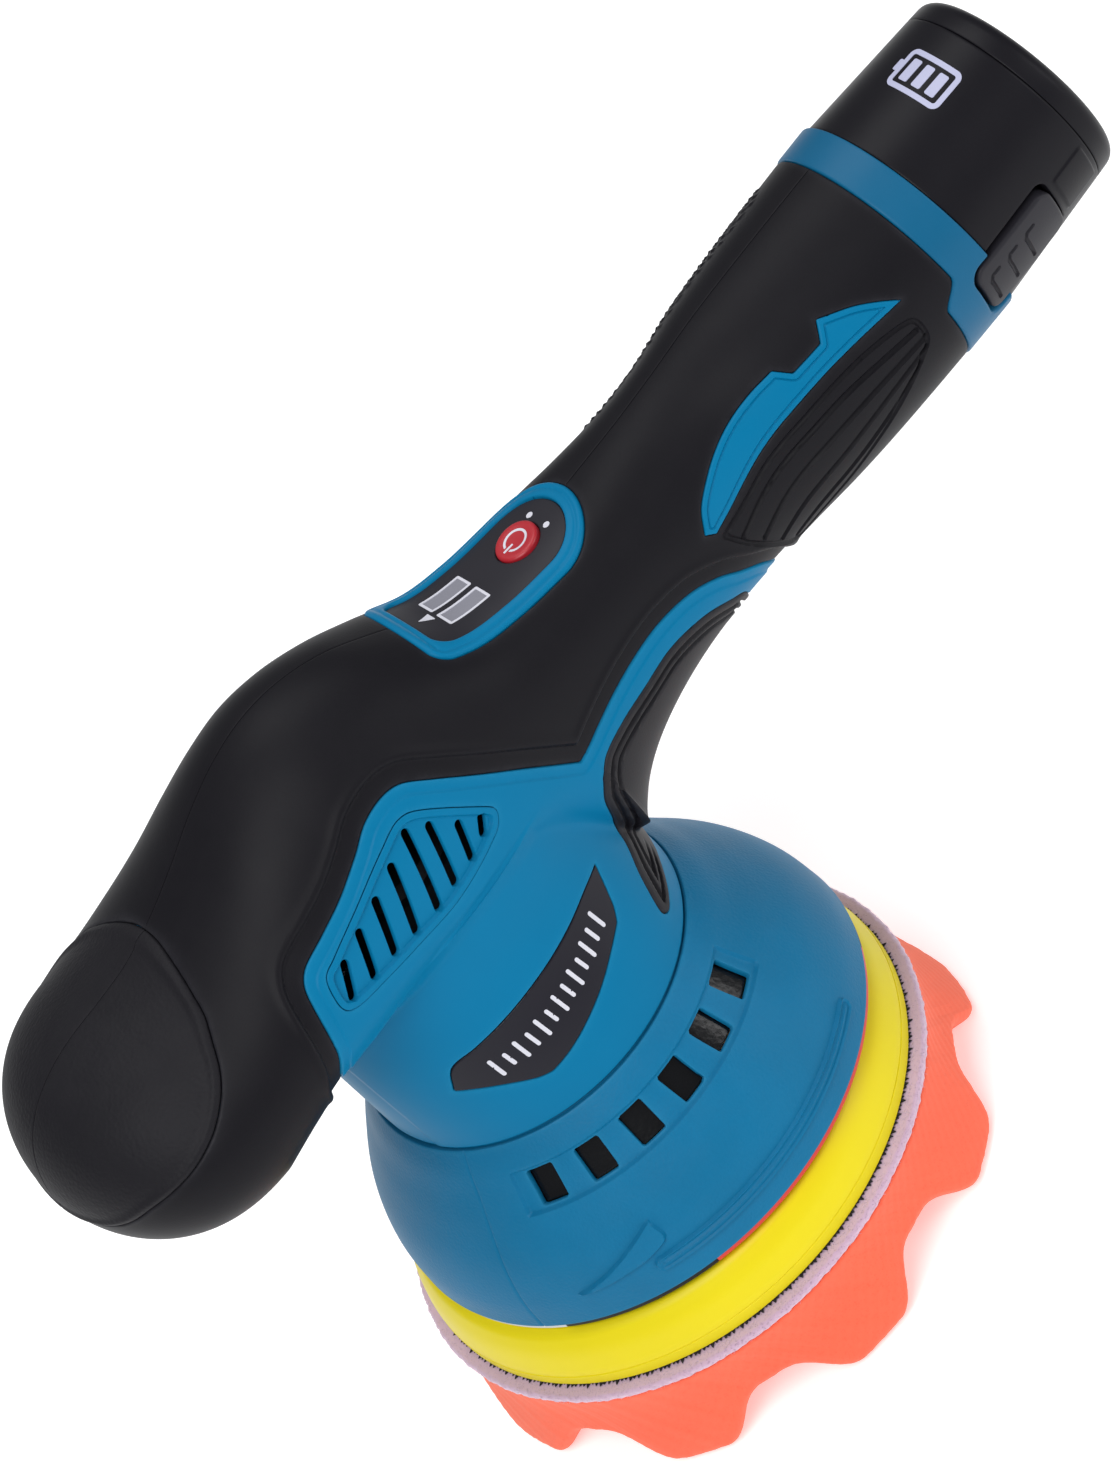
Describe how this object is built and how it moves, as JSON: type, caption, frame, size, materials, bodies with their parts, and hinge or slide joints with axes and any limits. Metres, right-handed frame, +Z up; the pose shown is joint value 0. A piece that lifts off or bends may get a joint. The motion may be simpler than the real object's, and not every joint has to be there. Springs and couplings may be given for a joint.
{
  "type": "dual action polisher",
  "caption": "Cordless dual action polisher: pod shaped body with a rear grip and slide-in battery, flared hood, eccentric drive, backing plate and lobed foam pad.",
  "frame": {"origin": "on the motor axis, at the foam pad's working face, which the tool stands on", "axes": "+Z up along the motor axis, +X along the handle towards the battery, +Y to the right hand side seen from the nose"},
  "size_m": [0.2925, 0.1289, 0.1753],
  "materials": {
    "teal_abs": "satin moulded ABS",
    "black_rubber": "soft touch TPE overmould",
    "black_plastic": "fine grained nylon",
    "button_red": "satin silicone",
    "display_grey": "printed film",
    "led_white": "light pipe",
    "pcb": "solder mask",
    "steel": "ground steel",
    "copper": "copper",
    "brass_weight": "cast",
    "magnet": "ferrite",
    "carbon": "graphite",
    "band_red": "printed band",
    "band_pale": "printed band",
    "polyurethane": "cast polyurethane skin",
    "felt": "brushed loop felt",
    "hook": "hook tape",
    "foam": "open cell polishing foam",
    "cell": "sleeved cell can"
  },
  "bodies": {
    "housing": {"shell_left": "teal_abs", "shell_right": "teal_abs", "overmould_left": "black_rubber", "overmould_right": "black_rubber", "nose_grip_left": "black_rubber", "nose_grip_right": "black_rubber", "finger_grip": "black_rubber", "vent_grille_left": "teal_abs", "vent_grille_right": "teal_abs", "label_plate_left": "black_plastic", "label_plate_right": "black_plastic", "flash_insert_left": "teal_abs", "flash_insert_right": "teal_abs", "handle_collar": "teal_abs", "control_bezel": "teal_abs", "control_overlay": "black_plastic", "display_windows": "display_grey", "led_lenses": "led_white", "button_spring": "steel", "tact_switch": "black_plastic", "control_board": "pcb", "motor_driver_board": "pcb", "housing_screws": "steel", "motor_can": "steel", "motor_endcap": "black_plastic", "motor_magnets": "magnet", "motor_bearings": "steel", "carbon_brushes": "carbon", "motor_screws": "steel", "hood": "teal_abs", "hood_screws": "steel", "rim_band_black": "black_plastic", "rim_band_red": "band_red", "rim_band_pale": "band_pale", "terminal_block": "black_plastic"},
    "rotor": {"armature_core": "steel", "armature_windings": "copper", "commutator": "copper", "motor_shaft": "steel", "cooling_fan": "black_plastic", "eccentric_hub": "steel", "counterweight": "brass_weight", "pad_bearing": "steel"},
    "pad": {"spindle": "steel", "backing_core": "black_plastic", "backing_plate": "polyurethane", "hook_layer": "hook", "loop_layer": "felt", "foam_pad": "foam"},
    "button": {"power_button": "button_red"},
    "battery": {"battery_case": "black_plastic", "battery_end_cap": "black_plastic", "battery_cells": "cell", "battery_board": "pcb", "latch_springs": "steel"},
    "latch_near": {"latch_left": "black_plastic"},
    "latch_far": {"latch_right": "black_plastic"}
  },
  "joints": [
    {"name": "rotor_spin", "type": "hinge", "parent": "housing", "child": "rotor", "pos_m": [0, 0, 0.06], "axis": [0, 0, 1], "continuous": true},
    {"name": "pad_spin", "type": "hinge", "parent": "rotor", "child": "pad", "pos_m": [-0.0026, 0, 0.048], "axis": [0, 0, 1], "continuous": true},
    {"name": "power_press", "type": "slide", "parent": "housing", "child": "button", "axis": [0, 0, -1], "range_m": [0, 0.0008], "stiffness_N_per_m": 700, "deforming": ["button_spring"]},
    {"name": "battery_slide", "type": "slide", "parent": "housing", "child": "battery", "axis": [1, 0, 0], "range_m": [0, 0.055]},
    {"name": "latch_near_press", "type": "slide", "parent": "battery", "child": "latch_near", "axis": [0, 0.9397, 0.342], "range_m": [0, 0.0015], "stiffness_N_per_m": 900},
    {"name": "latch_far_press", "type": "slide", "parent": "battery", "child": "latch_far", "axis": [0, -0.9397, 0.342], "range_m": [0, 0.0015], "stiffness_N_per_m": 900}
  ]
}
